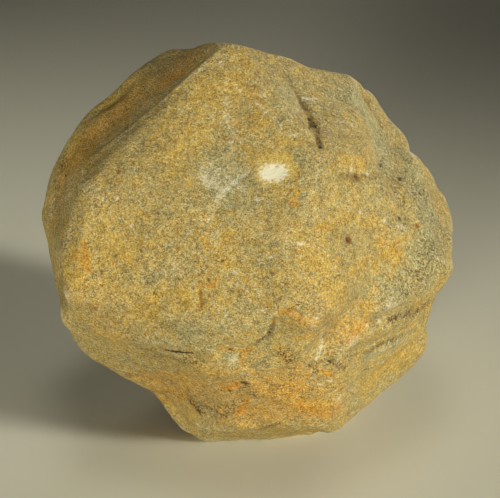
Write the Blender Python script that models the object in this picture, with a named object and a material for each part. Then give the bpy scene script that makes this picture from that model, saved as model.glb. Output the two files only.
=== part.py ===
"""Pseudoleucite specimen: a worn trapezohedral crystal with two smaller ones grown into it, as one solid.

Lengths are in millimetres until the finished mesh is scaled to metres. +Z is up, the front of the stone
faces -Y, and the origin is under the middle of the stone, at the height of the flat spot it rests on.
"""

import itertools
import math

import bmesh
import bpy
import numpy as np
from mathutils import Matrix, Vector, noise
from mathutils.bvhtree import BVHTree

MM = 0.001

# How the crystals stand: their three fourfold axes, turned about the vertical and then leaned
TURN_ABOUT_VERTICAL = math.radians(24.0)
LEAN = math.radians(5.8)
LEAN_TOWARDS = math.radians(137.0)

# The three crystals grown together: the middle of each, and how far its faces lie from it
MAIN_CENTRE = (-1.0, 0.8, 30.4)
MAIN_REACH = 24.0
RIGHT_CENTRE = (11.9, 2.1, 26.6)
RIGHT_REACH = 16.5
LOWER_CENTRE = (3.8, 5.0, 21.6)
LOWER_REACH = 22.5

# Faces that lie nearer or farther than the others: their shares of the up, left and front axes, and their reach
MAIN_FACES = {
    (2, 1, 1): 23.5,
    (1, 2, 1): 27.2,
    (2, 1, -1): 28.5,
    (1, 2, -1): 29.5,
    (-2, 1, -1): 25.5,
    (1, 1, -2): 25.5,
    (-1, 2, 1): 26.0,
    (-1, 2, -1): 28.0,
    (-1, 1, 2): 23.0,
    (-2, 1, 1): 23.0,
    (-2, -1, 1): 21.0,
    (-1, -1, 2): 22.0,
    (1, -1, 2): 23.5,
    (1, -2, 1): 23.7,
    (1, -2, -1): 31.0,
    (2, -1, -1): 26.0,
}
RIGHT_FACES = {
    (2, -1, 1): 17.3,
    (1, -2, 1): 17.6,
    (1, -2, -1): 17.5,
}
LOWER_FACES = {
    (1, -2, 1): 20.0,
    (1, -2, -1): 20.0,
    (-1, -2, 1): 24.8,
    (-1, 2, 1): 23.6,
    (-2, 1, 1): 27.0,
    (-2, -1, 1): 23.2,
    (-1, -1, 2): 22.0,
    (-1, 1, 2): 23.5,
}
# Flatter faces between those of the main crystal: its worn front, the left edge of that, and its worn corners
MAIN_BEVELS = {
    (2, 0.8, 1.5): 21.6,
    (1, 1.5, 1.9): 22.0,
    (-0.5, 1.5, 1.6): 23.8,
    (2, 1.2, -0.3): 25.4,
    (1, 2, -0.55): 27.5,
    (0, 2, -0.4): 28.0,
    (-1, 2, -0.4): 27.4,
    (-1.6, 1.6, 1): 22.7,
    (1, 0, 2): 24.8,
    (2, 0, 1): 25.3,
    (1, 0, 1): 26.0,
    (0, -1, 2): 24.0,
    (0, 0, 1): 26.6,
    (-1, 0, 2): 24.3,
}
# Flatter faces at the worn corners of the right crystal
RIGHT_BEVELS = {
    (1, -1, 1): 17.3,
    (1, -1.5, 1.5): 17.0,
}
# Flatter faces between those of the lower crystal: its upright right side, and the slope down to the flat spot
LOWER_BEVELS = {
    (0, -2, 1): 21.7,
    (-2.7, 1.1, 2.0): 24.0,
}

# Wear: the size of the grid that the shape is rebuilt on, and how far its edges are rubbed round
GRID = 0.5
WEAR_PASSES = 8
FINE_WEAR_PASSES = 3

# Marks are laid out as someone sees the stone who looks down on it at this angle, from this far
SIGHT_ANGLE = math.radians(30.0)
SIGHT_DISTANCE = 380.0
SIGHT_MIDDLE = (0.0, 0.0, 29.0)

# How far round the stone its sides are seen from: the front, the right, the back and the left
FRONT = 0.0
RIGHT_SIDE = math.radians(80.0)
BACK = math.radians(170.0)
LEFT_SIDE = math.radians(-95.0)

# Swellings and hollows of the front: (right, up, nearer), how wide, how high
LUMPS = (
    ((-28.0, 13.5, 0.0), 5.0, 1.0),
    ((-20.5, 24.0, 1.0), 6.0, 1.0),
    ((-26.5, -13.0, 2.0), 6.0, 0.8),
    ((-20.0, -18.0, 0.0), 6.0, 0.8),
    ((24.0, -17.0, -6.0), 6.0, 0.6),
    ((30.0, -2.5, -1.5), 3.5, 1.3),
    ((27.0, -9.0, 0.5), 2.5, -0.8),
    ((22.5, 15.5, -7.5), 3.5, 2.3),
    ((20.6, 18.6, -7.0), 2.5, 0.6),
    ((27.5, 8.5, -5.5), 3.0, 1.4),
    ((24.9, -15.0, -6.5), 3.0, 0.4),
    ((29.6, -3.2, 2.0), 2.5, 0.45),
    ((-24.0, 20.0, 1.0), 4.0, 1.1),
    ((-13.0, 29.0, 1.5), 4.0, -0.7),
    ((-4.0, 30.5, 10.0), 4.0, -0.5),
    ((-8.0, 29.8, 3.0), 3.0, -0.35),
    ((8.6, 26.7, 4.0), 3.0, -0.3),
    ((13.5, -7.0, 20.0), 5.0, 0.8),
    ((-24.9, 18.6, 0.5), 3.5, 0.6),
    ((-29.6, 9.5, 1.0), 4.0, 0.5),
    ((-30.3, 7.0, -1.0), 3.0, 0.4),
    ((-28.4, -4.6, 3.5), 3.2, -0.9),
    ((-23.0, -15.6, 2.0), 3.0, 0.55),
    ((-19.5, -18.0, -3.0), 3.0, 0.5),
    ((-16.3, -19.9, -3.8), 2.5, 0.7),
    ((-13.4, -21.8, -4.2), 2.0, -0.35),
    ((9.2, -27.3, -6.5), 3.5, -1.1),
)

# Furrows: their path as (right, up), how wide, and how deep, which is under zero for a ridge
FURROWS = {
    FRONT: (
        (((5.9, 24.7), (7.2, 22.0), (8.6, 19.6), (9.4, 17.5)), 2.6, 0.6),
        (((6.4, 23.7), (9.0, 19.0), (10.0, 15.5), (10.8, 13.5)), 1.1, 0.3),
        (((27.0, -8.4), (23.5, -9.4), (19.8, -10.2), (16.5, -11.3)), 1.1, 0.9),
        (((22.8, -12.3), (18.4, -14.1), (14.0, -15.6), (10.3, -15.2)), 1.2, 0.6),
        (((12.5, 11.3), (15.0, 10.7), (19.1, 11.3)), 1.0, 0.5),
        (((-24.5, 17.0), (-18.5, 21.7), (-11.5, 27.2)), 2.0, -0.4),
    ),
    RIGHT_SIDE: (
        (((16.0, 12.0), (19.0, 8.0), (20.0, 3.0)), 1.8, 1.0),
        (((11.0, -8.0), (16.0, -9.5), (20.0, -7.5)), 1.5, 1.0),
    ),
    BACK: (
        (((-17.0, 7.0), (-9.0, 4.0), (-2.0, 5.5), (6.0, 1.0)), 1.6, 1.3),
        (((3.0, -9.0), (9.0, -12.0), (15.0, -11.0)), 1.4, 1.0),
    ),
    LEFT_SIDE: (
        (((-14.0, -10.0), (-8.0, -12.0), (-3.0, -11.0)), 1.4, 1.0),
        (((-13.0, 12.0), (-8.0, 9.0), (-5.0, 2.0)), 1.6, 0.8),
    ),
}

# Ledges: their path as (right, up), how far the side on the right of the path drops, how wide the drop
LEDGES = {
    FRONT: (
        (((-21.0, -14.0), (-11.0, -15.0), (-5.1, -15.9)), 1.1, 7.0),
        (((-4.4, -14.6), (-0.5, -13.9), (2.2, -12.3), (3.8, -9.8)), 0.5, 5.0),
    ),
    BACK: (
        (((-6.0, 19.0), (4.0, 14.0), (13.0, 10.0)), 1.3, 7.0),
        (((-15.0, -12.0), (-6.0, -15.0), (2.0, -14.0)), 1.1, 6.0),
    ),
    LEFT_SIDE: (
        (((-16.0, 2.0), (-10.0, -3.0), (-4.0, -4.0)), 0.9, 6.0),
    ),
    RIGHT_SIDE: (
        (((2.0, -16.0), (8.0, -15.0), (14.0, -17.0)), 1.0, 6.0),
    ),
}
LEDGE_SHARPNESS = 0.6

# Unevenness: the size of the lumps, how high they are, and where the pattern starts
UNEVENNESS = (
    (13.0, 0.55, (3.1, 7.4, 1.9)),
    (5.5, 0.30, (8.3, 2.2, 5.7)),
    (2.4, 0.14, (1.7, 9.1, 4.4)),
)

# Triangles in the finished solid
TRIANGLES = 9400

STONE_COLOUR = (0.40, 0.30, 0.13, 1.0)
STONE_ROUGHNESS = 0.85


def crystal_axes():
    """The up, left and front axes of the crystals, as unit vectors."""
    lean_axis = Vector((-math.sin(LEAN_TOWARDS), math.cos(LEAN_TOWARDS), 0.0))
    stand = Matrix.Rotation(LEAN, 3, lean_axis) @ Matrix.Rotation(TURN_ABOUT_VERTICAL, 3, "Z")
    return stand @ Vector((0, 0, 1)), stand @ Vector((-1, 0, 0)), stand @ Vector((0, -1, 0))


def trapezohedron_faces(reach, faces):
    """The 24 faces of a trapezohedron, each leaning two shares to one axis and one share to the others."""
    table = {}
    for leading in range(3):
        for signs in itertools.product((1, -1), repeat=3):
            shares = tuple(sign * (2 if axis == leading else 1) for axis, sign in enumerate(signs))
            table[shares] = faces.get(shares, reach)
    return table


def cut_away(bm, place, normal):
    """Cuts off what lies beyond a plane, and closes the cut."""
    cut = bmesh.ops.bisect_plane(
        bm,
        geom=bm.verts[:] + bm.edges[:] + bm.faces[:],
        plane_co=place,
        plane_no=normal,
        clear_outer=True,
    )
    rim = [piece for piece in cut["geom_cut"] if isinstance(piece, bmesh.types.BMEdge)]
    if rim:
        bmesh.ops.edgenet_fill(bm, edges=rim)
    bmesh.ops.recalc_face_normals(bm, faces=bm.faces[:])


def crystal(name, centre, faces):
    """A closed solid bounded by planes at the given distances from its centre."""
    axes = crystal_axes()
    bm = bmesh.new()
    bmesh.ops.create_cube(bm, size=200.0, matrix=Matrix.Translation(centre))
    for shares, distance in faces.items():
        normal = sum((share * axis for share, axis in zip(shares, axes)), Vector()).normalized()
        cut_away(bm, Vector(centre) + distance * normal, normal)
    mesh = bpy.data.meshes.new(name)
    bm.to_mesh(mesh)
    bm.free()
    obj = bpy.data.objects.new(name, mesh)
    bpy.context.collection.objects.link(obj)
    return obj


def settle(obj):
    """Applies the object's modifiers to its mesh."""
    graph = bpy.context.evaluated_depsgraph_get()
    mesh = bpy.data.meshes.new_from_object(obj.evaluated_get(graph))
    obj.modifiers.clear()
    obj.data = mesh


def grown_together(main, others):
    """Joins the crystals into one body with the shape of their union."""
    for other in others:
        union = main.modifiers.new("Grown with " + other.name, "BOOLEAN")
        union.operation = "UNION"
        union.solver = "EXACT"
        union.object = other
    settle(main)
    for other in others:
        bpy.data.objects.remove(other)


def worn(stone):
    """Rebuilds the surface on a fine grid and rubs its edges round."""
    grid = stone.modifiers.new("Grid", "REMESH")
    grid.mode = "VOXEL"
    grid.voxel_size = GRID
    rub = stone.modifiers.new("Wear", "SMOOTH")
    rub.factor = 0.5
    rub.iterations = WEAR_PASSES
    settle(stone)


def sight_axes(side):
    """Right, up and towards the viewer, as unit vectors."""
    rightward = np.array([math.cos(side), math.sin(side), 0.0])
    level = np.array([math.sin(side), -math.cos(side), 0.0])
    towards = math.cos(SIGHT_ANGLE) * level + math.sin(SIGHT_ANGLE) * np.array([0.0, 0.0, 1.0])
    return rightward, np.cross(towards, rightward), towards


def seen(side, right, up, nearer=0.0):
    """The place that is seen that far right of and above the middle of the view, and that much nearer."""
    rightward, upward, towards = sight_axes(side)
    narrowing = 1.0 - nearer / SIGHT_DISTANCE
    return SIGHT_MIDDLE + right * narrowing * rightward + up * narrowing * upward + nearer * towards


def as_seen(side, points):
    """How far right of and above the middle of the view each point is seen."""
    rightward, upward, towards = sight_axes(side)
    away = points - SIGHT_MIDDLE
    narrowing = 1.0 - away @ towards / SIGHT_DISTANCE
    return np.stack([away @ rightward / narrowing, away @ upward / narrowing], axis=1)


def mesh_arrays(mesh):
    """The points and the normals of a mesh, as arrays."""
    points = np.empty(len(mesh.vertices) * 3, np.float32)
    normals = np.empty(len(mesh.vertices) * 3, np.float32)
    mesh.vertices.foreach_get("co", points)
    mesh.vertex_normals.foreach_get("vector", normals)
    return points.reshape(-1, 3).astype(float), normals.reshape(-1, 3).astype(float)


def move_points(mesh, points):
    """Gives the points of a mesh their new places."""
    mesh.vertices.foreach_set("co", points.astype(np.float32).ravel())
    mesh.update()


def bell(distance, width):
    """One at no distance, falling away smoothly over the width."""
    return np.exp(-((distance / width) ** 2))


def swell(stone):
    """Adds the swellings and hollows of the front."""
    points, normals = mesh_arrays(stone.data)
    for place, width, height in LUMPS:
        distance = np.linalg.norm(points - seen(FRONT, *place), axis=1)
        points = points + height * bell(distance, width)[:, None] * normals
    move_points(stone.data, points)


def traced(stone, side, path, step=0.4):
    """A path on the stone as places close together: where each is seen, and where it lies."""
    tree = BVHTree.FromObject(stone, bpy.context.evaluated_depsgraph_get())
    eye = Vector(seen(side, 0.0, 0.0, SIGHT_DISTANCE))
    corners = np.array(path)
    places = []
    for start, end in zip(corners[:-1], corners[1:]):
        count = max(2, int(np.linalg.norm(end - start) / step))
        places += [start + (end - start) * share for share in np.linspace(0, 1, count, endpoint=False)]
    places.append(corners[-1])
    hits = [tree.ray_cast(eye, Vector(seen(side, *place)) - eye)[0] for place in places]
    found = [(place, hit[:]) for place, hit in zip(places, hits) if hit is not None]
    return np.array([place for place, _ in found]), np.array([hit for _, hit in found])


def nearest(points, line):
    """For each point, its distance to the line, and which of the line's places is the nearest."""
    best = np.full(len(points), np.inf)
    which = np.zeros(len(points), int)
    for index, place in enumerate(line):
        distance = np.linalg.norm(points - place, axis=1)
        closer = distance < best
        best[closer] = distance[closer]
        which[closer] = index
    return best, which


def taper(which, count):
    """One along the middle of a line, falling away towards its ends."""
    along = which / (count - 1)
    return np.clip(4.0 * np.minimum(along, 1.0 - along) + 0.15, 0.0, 1.0)


def furrow(stone, side, path, width, depth):
    """Carves a furrow along a path, or raises a ridge."""
    line = traced(stone, side, path)[1]
    points, normals = mesh_arrays(stone.data)
    distance, which = nearest(points, line)
    depths = depth * bell(distance, width) * taper(which, len(line))
    move_points(stone.data, points - depths[:, None] * normals)


def ledge(stone, side, path, drop, reach):
    """Lets the surface on the right of a path drop, and rise again over the reach."""
    flat, line = traced(stone, side, path)
    points, normals = mesh_arrays(stone.data)
    distance, which = nearest(points, line)
    heading = np.gradient(flat, axis=0)[which]
    offset = as_seen(side, points) - flat[which]
    across = heading[:, 1] * offset[:, 0] - heading[:, 0] * offset[:, 1]
    step = 0.5 * (1.0 + np.tanh(np.sign(across) * distance / LEDGE_SHARPNESS))
    depths = drop * step * bell(distance, reach) * taper(which, len(line))
    move_points(stone.data, points - depths[:, None] * normals)


def uneven(stone):
    """Makes the faces uneven, as natural ones are."""
    points, normals = mesh_arrays(stone.data)
    heights = np.zeros(len(points))
    for size, height, start in UNEVENNESS:
        pattern = [noise.noise(Vector(point) / size + Vector(start)) for point in points]
        heights += height * np.array(pattern)
    move_points(stone.data, points + heights[:, None] * normals)


def thinned(stone):
    """Smooths out creases as fine as the grid, then brings the mesh down to its triangle budget."""
    rub = stone.modifiers.new("Fine wear", "SMOOTH")
    rub.factor = 0.5
    rub.iterations = FINE_WEAR_PASSES
    triangles = sum(len(face.vertices) - 2 for face in stone.data.polygons)
    thin = stone.modifiers.new("Thin", "DECIMATE")
    thin.ratio = TRIANGLES / triangles
    settle(stone)


def flat_spot(stone):
    """Cuts the stone flat at the height of the surface that it rests on."""
    bm = bmesh.new()
    bm.from_mesh(stone.data)
    cut_away(bm, (0, 0, 0), (0, 0, -1))
    bmesh.ops.triangulate(bm, faces=bm.faces[:])
    bm.to_mesh(stone.data)
    bm.free()


def centre_on_origin(stone):
    """Puts the middle of the stone's box over the origin, and scales the mesh to metres."""
    points = mesh_arrays(stone.data)[0]
    middle = (points.min(axis=0) + points.max(axis=0)) / 2
    stone.data.transform(Matrix.Scale(MM, 4) @ Matrix.Translation((-middle[0], -middle[1], 0.0)))


def stone_material():
    """The plain colour of the stone."""
    material = bpy.data.materials.new("stone")
    material.use_nodes = True
    shader = material.node_tree.nodes["Principled BSDF"]
    shader.inputs["Base Color"].default_value = STONE_COLOUR
    shader.inputs["Roughness"].default_value = STONE_ROUGHNESS
    return material


for old in list(bpy.data.objects):
    bpy.data.objects.remove(old)

stone = crystal(
    "pseudoleucite_crystal",
    MAIN_CENTRE,
    trapezohedron_faces(MAIN_REACH, MAIN_FACES) | MAIN_BEVELS,
)
right = crystal(
    "right_crystal",
    RIGHT_CENTRE,
    trapezohedron_faces(RIGHT_REACH, RIGHT_FACES) | RIGHT_BEVELS,
)
lower = crystal(
    "lower_crystal",
    LOWER_CENTRE,
    trapezohedron_faces(LOWER_REACH, LOWER_FACES) | LOWER_BEVELS,
)
grown_together(stone, [right, lower])
worn(stone)
swell(stone)
uneven(stone)
for side, furrows in FURROWS.items():
    for path, width, depth in furrows:
        furrow(stone, side, path, width, depth)
for side, ledges in LEDGES.items():
    for path, drop, reach in ledges:
        ledge(stone, side, path, drop, reach)
thinned(stone)
flat_spot(stone)
centre_on_origin(stone)
stone.data.materials.clear()
stone.data.materials.append(stone_material())
stone.data.shade_smooth()
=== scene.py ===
import math

import bpy
import numpy as np
from mathutils import Matrix, Vector, noise
from mathutils.bvhtree import BVHTree


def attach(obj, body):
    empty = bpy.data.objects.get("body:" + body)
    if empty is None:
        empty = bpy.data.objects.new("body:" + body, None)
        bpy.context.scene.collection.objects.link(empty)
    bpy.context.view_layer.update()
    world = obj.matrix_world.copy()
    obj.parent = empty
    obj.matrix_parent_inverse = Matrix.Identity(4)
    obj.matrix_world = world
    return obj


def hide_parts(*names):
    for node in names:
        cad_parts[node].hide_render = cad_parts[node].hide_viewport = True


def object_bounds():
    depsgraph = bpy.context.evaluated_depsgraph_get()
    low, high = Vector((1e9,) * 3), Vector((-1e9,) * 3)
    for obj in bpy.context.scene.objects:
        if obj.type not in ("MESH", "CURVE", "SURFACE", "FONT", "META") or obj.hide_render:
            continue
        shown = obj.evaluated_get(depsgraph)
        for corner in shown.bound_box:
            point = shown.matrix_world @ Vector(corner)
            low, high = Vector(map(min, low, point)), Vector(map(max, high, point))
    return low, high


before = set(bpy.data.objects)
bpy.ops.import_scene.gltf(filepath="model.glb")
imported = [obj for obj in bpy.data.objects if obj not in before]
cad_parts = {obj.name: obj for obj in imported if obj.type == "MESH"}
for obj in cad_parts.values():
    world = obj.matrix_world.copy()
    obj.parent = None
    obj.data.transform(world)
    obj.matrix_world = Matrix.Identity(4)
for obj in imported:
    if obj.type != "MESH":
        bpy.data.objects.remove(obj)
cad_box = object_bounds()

# The body of the stone.
# One trapezohedral crystal of pseudoleucite with smaller ones grown into it, made of nepheline and
# feldspar in fine grains. It formed as one piece, and wear has rubbed its edges round.

MM = 0.001
COARSE_GRID = 0.5
WEAR_PASSES = 3
TRIANGLES = 196000

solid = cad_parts["pseudoleucite_crystal"]
stone = bpy.data.objects.new("pseudoleucite_stone", solid.data.copy())
bpy.context.scene.collection.objects.link(stone)
stone.data.materials.clear()
stone.data.transform(Matrix.Scale(1 / MM, 4))


def settle(obj):
    """Applies the object's modifiers to its mesh."""
    graph = bpy.context.evaluated_depsgraph_get()
    mesh = bpy.data.meshes.new_from_object(obj.evaluated_get(graph))
    obj.modifiers.clear()
    obj.data = mesh


def finely_meshed(obj):
    """Rebuilds the surface on an even grid, rubs off the flat facets, and halves the grid."""
    grid = obj.modifiers.new("Grid", "REMESH")
    grid.mode = "VOXEL"
    grid.voxel_size = COARSE_GRID
    rub = obj.modifiers.new("Wear", "SMOOTH")
    rub.factor = 0.5
    rub.iterations = WEAR_PASSES
    halve = obj.modifiers.new("Half grid", "SUBSURF")
    halve.levels = 1
    halve.render_levels = 1
    settle(obj)


def surface(obj):
    """The points and the normals of the object's mesh."""
    points = np.empty(len(obj.data.vertices) * 3, np.float32)
    normals = np.empty(len(obj.data.vertices) * 3, np.float32)
    obj.data.vertices.foreach_get("co", points)
    obj.data.vertex_normals.foreach_get("vector", normals)
    return points.reshape(-1, 3).astype(float), normals.reshape(-1, 3).astype(float)


def reshape(obj, points):
    """Gives the points of the object's mesh their new places."""
    obj.data.vertices.foreach_set("co", points.astype(np.float32).ravel())
    obj.data.update()


finely_meshed(stone)

# The worn skin of the stone.
# Weathering has eaten softer grains out of the faces, which leaves low lumps and pores, more of
# them on the right side and under the overhang than on the smooth faces above.

# Lumps: their size, their height, and where the pattern starts
LUMPS = (
    (2.3, 0.10, (4.1, 7.7, 2.9)),
    (1.15, 0.075, (8.3, 1.2, 6.7)),
    (0.6, 0.05, (2.7, 5.1, 9.4)),
)
# How high the lumps are as a share of that, where the skin is smooth, and how much more where it is rough
SMOOTH_SHARE = 0.7
ROUGH_SHARE = 1.3
# Pores: how far apart they lie, how wide they are as a share of that, and how deep
PORE_SPACING = 1.25
PORE_REACH = 0.42
PORE_DEPTH = 0.16

# The stone is described as someone sees it who looks down on its front at this angle, from this far
SIGHT_ANGLE = math.radians(30.0)
SIGHT_DISTANCE = 380.0
SIGHT_MIDDLE = np.array([0.30, -2.40, 29.0])
RIGHTWARD = np.array([1.0, 0.0, 0.0])
TOWARDS = np.array([0.0, -math.cos(SIGHT_ANGLE), math.sin(SIGHT_ANGLE)])
UPWARD = np.cross(TOWARDS, RIGHTWARD)

# Rough areas, each a path as (right, up) with a width and a strength
ROUGH_AREAS = (
    (((24.0, 10.0), (27.0, 2.0), (26.0, -4.0), (24.5, -9.0)), 5.0, 1.0),
    (((20.0, 4.0), (20.5, -4.0)), 4.0, 0.7),
    (((-8.5, -22.5), (-5.0, -23.2), (-1.5, -21.5)), 2.6, 1.0),
    (((-19.0, -16.5), (-12.0, -18.5), (-5.0, -18.0)), 2.6, 0.6),
    (((0.0, -20.0), (5.0, -16.5), (12.5, -17.0)), 3.0, 0.8),
    (((-27.5, 10.0), (-27.9, 6.0)), 2.0, 0.7),
    (((-23.0, 17.0), (-19.0, 20.5)), 3.0, 0.4),
)

# Low swells and hollows, each with a path as (right, up), a width and a height
SWELLS = (
    (((-28.3, -1.9), (-27.8, -4.8)), 2.0, -0.60),
    (((-27.4, -9.6), (-27.0, -11.2)), 1.6, 0.45),
    (((-15.0, 26.6), (-17.0, 25.0)), 2.4, 0.50),
    (((23.2, 13.9), (23.8, 13.2)), 1.6, 0.45),
    (((21.8, 16.0), (22.4, 15.6)), 1.2, -0.30),
    (((14.9, 24.6), (15.4, 24.0)), 1.3, 0.30),
    (((16.3, 22.9), (17.9, 20.7), (19.6, 17.8), (20.4, 15.3)), 1.2, 0.55),
    (((6.6, 27.0), (7.2, 26.7)), 2.0, 0.40),
    (((-11.0, -23.6), (-10.6, -24.4)), 1.6, -0.45),
    (((-9.6, -26.2), (-9.0, -26.9)), 1.6, 0.45),
    (((14.3, -24.6), (16.4, -22.7), (20.2, -19.6), (24.0, -16.0), (25.5, -14.0)), 2.5, 0.30),
    (((25.5, 11.8), (26.5, 10.5)), 1.5, -0.20),
    (((29.0, 0.6), (29.0, 3.2)), 2.0, -0.30),
    (((25.6, -8.6), (25.8, -9.2)), 1.2, -0.40),
    (((-21.0, -16.9), (-18.5, -18.2), (-16.5, -19.3)), 2.0, 0.30),
    (((-21.1, 21.6), (-23.2, 20.0)), 2.0, -0.25),
    (((-29.9, 5.8), (-29.2, 0.8)), 2.0, -0.25),
    (((-12.9, -21.6), (-12.6, -21.9)), 1.2, -0.30),
)


def bell(distance, width):
    """One at no distance, falling away smoothly over the width."""
    return np.exp(-((distance / width) ** 2))


def soft_step(values, low, high):
    """Zero below the low value, one above the high one, and smooth between."""
    share = np.clip((values - low) / (high - low), 0.0, 1.0)
    return share * share * (3.0 - 2.0 * share)


def shell_of(obj):
    """The object's surface as it now is, for paths to be traced on."""
    return BVHTree.FromObject(obj, bpy.context.evaluated_depsgraph_get())


def traced(shell, path, step=0.4):
    """The places on the surface, close together, where a path over its front lies."""
    eye = SIGHT_MIDDLE + SIGHT_DISTANCE * TOWARDS
    corners = np.array(path)
    seen = [corners[-1]]
    for start, end in zip(corners[:-1], corners[1:]):
        count = max(2, int(np.linalg.norm(end - start) / step))
        seen += [start + (end - start) * share for share in np.linspace(0, 1, count, endpoint=False)]
    places = []
    for right, up in seen[1:] + seen[:1]:
        aim = right * RIGHTWARD + up * UPWARD - SIGHT_DISTANCE * TOWARDS
        hit = shell.ray_cast(Vector(eye), Vector(aim))[0]
        if hit is not None:
            places.append(hit[:])
    return np.array(places)


def nearest(points, line):
    """For each point, its distance to the line, and which of the line's places is the nearest."""
    best = np.full(len(points), np.inf)
    which = np.zeros(len(points), int)
    for index, place in enumerate(line):
        distance = np.linalg.norm(points - place, axis=1)
        closer = distance < best
        best[closer] = distance[closer]
        which[closer] = index
    return best, which


def covered(points, shell, areas):
    """How strongly each point lies in any of the areas."""
    strongest = np.zeros(len(points))
    for path, width, strength in areas:
        distance = nearest(points, traced(shell, path))[0]
        strongest = np.maximum(strongest, strength * bell(distance, width))
    return strongest


def pattern(points, size, start):
    """An even, smooth noise between about -1 and 1 on the points."""
    return np.array([noise.noise(Vector(point)) for point in points / size + np.array(start)])


def unseen(points, normals):
    """One on the sides that turn away from the sight of the front, zero on the front."""
    eye = SIGHT_MIDDLE + SIGHT_DISTANCE * TOWARDS
    rays = eye - points
    facing = np.sum(rays * normals, axis=1) / np.linalg.norm(rays, axis=1)
    return 1.0 - soft_step(facing, -0.1, 0.25)


def roughness_of_skin(points, normals, shell):
    """How rough the skin is: as placed on the front, and in large patches on the other sides."""
    elsewhere = soft_step(pattern(points, 14.0, (5.5, 3.3, 1.1)), -0.05, 0.35)
    return np.maximum(covered(points, shell, ROUGH_AREAS), 0.9 * elsewhere * unseen(points, normals))


def weather(obj):
    """Raises low lumps and sinks pores, more where the skin is rough."""
    points, normals = surface(obj)
    shell = shell_of(obj)
    rough = roughness_of_skin(points, normals, shell)
    heights = np.zeros(len(points))
    for size, height, start in LUMPS:
        heights += height * (SMOOTH_SHARE + ROUGH_SHARE * rough) * pattern(points, size, start)
    for path, width, height in SWELLS:
        heights += height * bell(nearest(points, traced(shell, path))[0], width)
    spaced = points / PORE_SPACING
    cells = [noise.voronoi(Vector(point), distance_metric="DISTANCE")[0][0] for point in spaced]
    pores = np.clip(1.0 - np.array(cells) / PORE_REACH, 0.0, 1.0)
    heights -= PORE_DEPTH * pores * rough
    reshape(obj, points + heights[:, None] * normals)


weather(stone)

# Cracks, crevices and ridges of the stone.
# The crystals part a little where they have grown into each other, iron-rich grains have dropped
# out of a few pits, and the sharpest edge of the front still stands up as a thin ridge.

# Each has a path as (right, up), a width, and a depth, which is under zero for a ridge
GROOVES = {
    "open crack": (((-12.4, -14.8), (-11.0, -15.1), (-9.8, -15.2), (-8.4, -15.3)), 0.32, 0.9),
    "closed crack": (((-15.8, -14.7), (-13.8, -14.85), (-12.4, -14.8)), 0.35, 0.2),
    "upper crevice": (((6.9, 22.6), (8.5, 19.8), (9.6, 17.8), (10.2, 15.0)), 0.5, 0.25),
    "upper crevice hole": (((8.6, 19.0), (9.0, 18.4), (8.8, 17.7)), 0.4, 0.45),
    "lower crevice hole": (((9.9, 16.4), (10.3, 14.8)), 0.4, 0.35),
    "right groove": (((12.5, 11.3), (15.0, 10.7), (17.2, 10.9), (19.1, 11.3)), 0.5, 0.3),
    "right groove hole": (((15.5, 10.8), (15.9, 10.7)), 0.4, 0.6),
    "steep groove": (((19.3, 13.2), (19.0, 11.7)), 0.4, 0.35),
    "long right fill": (((26.5, -8.2), (23.5, -9.5), (20.5, -10.2)), 1.3, -0.55),
    "long right furrow": (((20.6, -10.4), (22.2, -9.8), (23.7, -9.6), (25.0, -9.0), (26.0, -7.8)), 0.5, 0.5),
    "short right fill": (((22.1, -12.9), (19.0, -14.2), (16.5, -15.3)), 1.3, -0.40),
    "short right furrow": (((22.2, -12.8), (20.6, -13.4), (19.0, -14.1), (17.2, -15.2)), 0.45, 0.45),
    "curved crease": (((7.4, -8.6), (5.3, -8.8), (3.5, -10.6), (2.6, -12.8), (0.7, -14.0)), 0.5, 0.25),
    "round pit": (((14.3, 1.3), (14.5, 1.3)), 0.5, 0.9),
    "black hole": (((21.9, 10.5), (22.0, 10.1)), 0.4, 0.5),
    "rusty slot": (((-7.5, -5.7), (-7.4, -6.8), (-7.2, -7.9), (-7.1, -8.7)), 0.42, 0.4),
    "low ledge": (((-7.9, -25.2), (-6.4, -26.2), (-2.9, -26.6), (1.8, -25.9)), 0.5, -0.25),
    "sharp edge": (((-4.4, 29.4), (-13.7, 20.9), (-20.3, 15.6), (-24.0, 13.1)), 0.5, -0.22),
    "lower edge": (((-24.0, 13.1), (-25.2, 9.8), (-26.2, 5.0), (-27.6, -2.4)), 0.6, -0.12),
    "lower left edge": (((-27.6, -5.6), (-26.3, -7.8), (-24.9, -9.8), (-22.8, -12.6)), 0.6, -0.3),
}


def taper(which, count):
    """One along the middle of a line, falling away towards its ends."""
    along = which / max(1, count - 1)
    return np.clip(4.0 * np.minimum(along, 1.0 - along) + 0.25, 0.0, 1.0)


def carve(obj, shell, path, width, depth):
    """Carves a groove along a path, or raises a ridge."""
    line = traced(shell, path, 0.2)
    points, normals = surface(obj)
    distance, which = nearest(points, line)
    depths = depth * bell(distance, width) * taper(which, len(line))
    reshape(obj, points - depths[:, None] * normals)


uncarved = shell_of(stone)
for path, width, depth in GROOVES.values():
    carve(stone, uncarved, path, width, depth)


# The flat spot under the stone.
# The stone lies on a small spot at the foot of its worn lower faces, and nothing of it reaches
# outside the box of the solid.

# What lies lower than this is laid level
SPOT_HEIGHT = 0.15
# How strongly the thinning of the mesh keeps to the sides that turn away
REAR_THINNING = 0.004


def settle_on_spot(obj):
    """Makes the spot level, and keeps every point inside the solid's box."""
    points = surface(obj)[0]
    low, high = (np.array(corner) / MM for corner in cad_box)
    points[:, 2] = np.where(points[:, 2] < SPOT_HEIGHT, 0.0, points[:, 2])
    reshape(obj, np.clip(points, low, high))


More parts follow.
